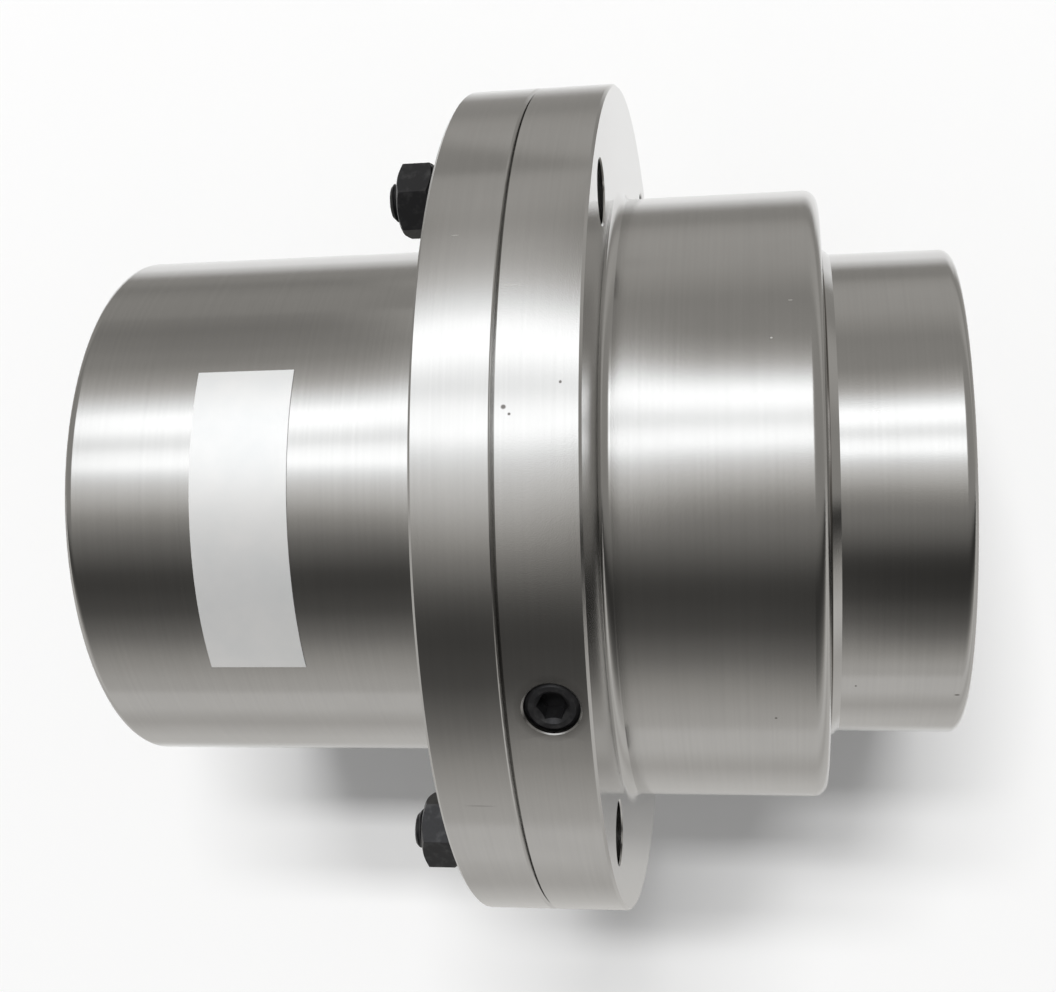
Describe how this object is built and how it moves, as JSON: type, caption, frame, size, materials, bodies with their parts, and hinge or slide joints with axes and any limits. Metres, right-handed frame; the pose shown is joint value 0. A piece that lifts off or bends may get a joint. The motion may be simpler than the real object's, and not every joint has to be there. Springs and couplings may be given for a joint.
{
  "type": "gear coupling",
  "caption": "Flanged gear coupling with a rigid hub bolted to a toothed sleeve, in which a gear hub with crowned teeth tilts and floats to join two keyed shafts.",
  "frame": {"origin": "centre of the rigid hub's end face, on which the coupling stands", "axes": "+Z along the turning axis, from the rigid hub towards the gear hub; +X through the keyways"},
  "size_m": [0.18, 0.18, 0.1785],
  "materials": {
    "turned_steel": "satin turned, bare",
    "black_steel": "black oxide",
    "seal_rubber": "matte",
    "label_film": "bare white sticker"
  },
  "bodies": {
    "housing": {"rigid_hub": "turned_steel", "sleeve": "turned_steel", "flange_seal": "seal_rubber", "label": "label_film", "grease_plug_1": "black_steel", "grease_plug_2": "black_steel", "bolt_1": "black_steel", "bolt_2": "black_steel", "bolt_3": "black_steel", "bolt_4": "black_steel", "nut_1": "black_steel", "nut_2": "black_steel", "nut_3": "black_steel", "nut_4": "black_steel", "spring_washer_1": "black_steel", "spring_washer_2": "black_steel", "spring_washer_3": "black_steel", "spring_washer_4": "black_steel"},
    "seal_ring": {"hub_seal": "seal_rubber"},
    "hub": {"gear_hub": "turned_steel"}
  },
  "joints": [
    {"name": "hub_float", "type": "slide", "parent": "housing", "child": "seal_ring", "axis": [0, 0, 1], "range_m": [-0.002, 0.002]},
    {"name": "hub_tilt", "type": "hinge", "parent": "seal_ring", "child": "hub", "pos_m": [0, 0, 0.1125], "axis": [1, 0, 0], "range_deg": [-1.5, 1.5], "stiffness_Nm_per_rad": 30, "deforming": ["hub_seal"]}
  ]
}
